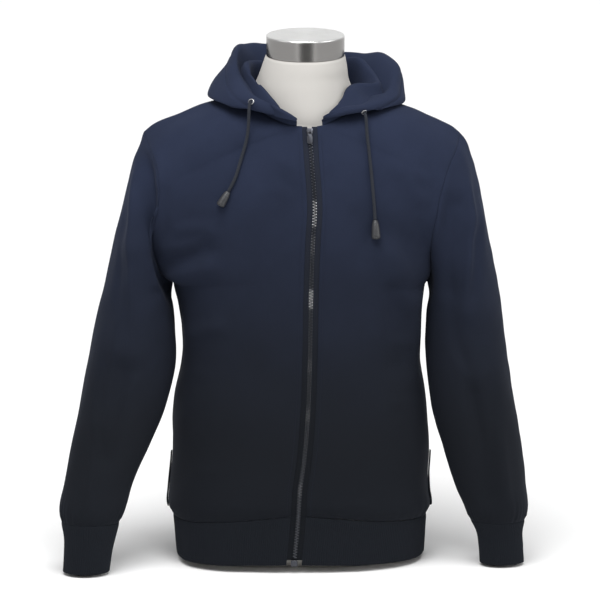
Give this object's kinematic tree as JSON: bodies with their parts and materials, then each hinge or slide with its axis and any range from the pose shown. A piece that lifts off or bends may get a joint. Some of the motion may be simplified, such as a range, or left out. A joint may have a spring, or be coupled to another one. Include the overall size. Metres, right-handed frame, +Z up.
{
  "type": "zip-up hoodie worn by a limbless dress form",
  "caption": "Navy zip-up hoodie with ribbed cuffs and hem, closed to the neck, on a limbless off-white dress form with a brushed-steel neck cap.",
  "frame": {"origin": "middle of the dress form's flat underside", "axes": "+Z up, -Y the way the wearer faces, +X the wearer's left"},
  "size_m": [0.6973, 0.3771, 0.7954],
  "materials": {
    "fleece": "matte",
    "rib": "matte",
    "zip_tape": "matte",
    "teeth": "satin",
    "slider": "satin",
    "eyelet": "gloss",
    "cord": "matte",
    "cord_tip": "satin",
    "form": "matte",
    "steel": "brushed"
  },
  "bodies": {
    "hoodie": {"back": "fleece", "cord_tip_left": "cord_tip", "cord_tip_right": "cord_tip", "cuff_left": "rib", "cuff_right": "rib", "drawcord_left": "cord", "drawcord_right": "cord", "dress_form": "form", "eyelet_left": "eyelet", "eyelet_right": "eyelet", "front_left": "fleece", "front_right": "fleece", "hem_band": "rib", "hood_left": "fleece", "hood_right": "fleece", "neck_cap": "steel", "pocket_welt_left": "fleece", "pocket_welt_right": "fleece", "sleeve_left": "fleece", "sleeve_right": "fleece", "zip_box": "slider", "zip_slider": "slider", "zip_tape_left": "zip_tape", "zip_tape_right": "zip_tape", "zip_teeth": "teeth"},
    "pull_tab": {"zip_pull": "slider"}
  },
  "joints": [
    {"name": "pull_hinge", "type": "hinge", "parent": "hoodie", "child": "pull_tab", "pos_m": [0.01439, -0.10485, 0.65638], "axis": [-1, 0, 0], "range_deg": [0, 160]}
  ]
}
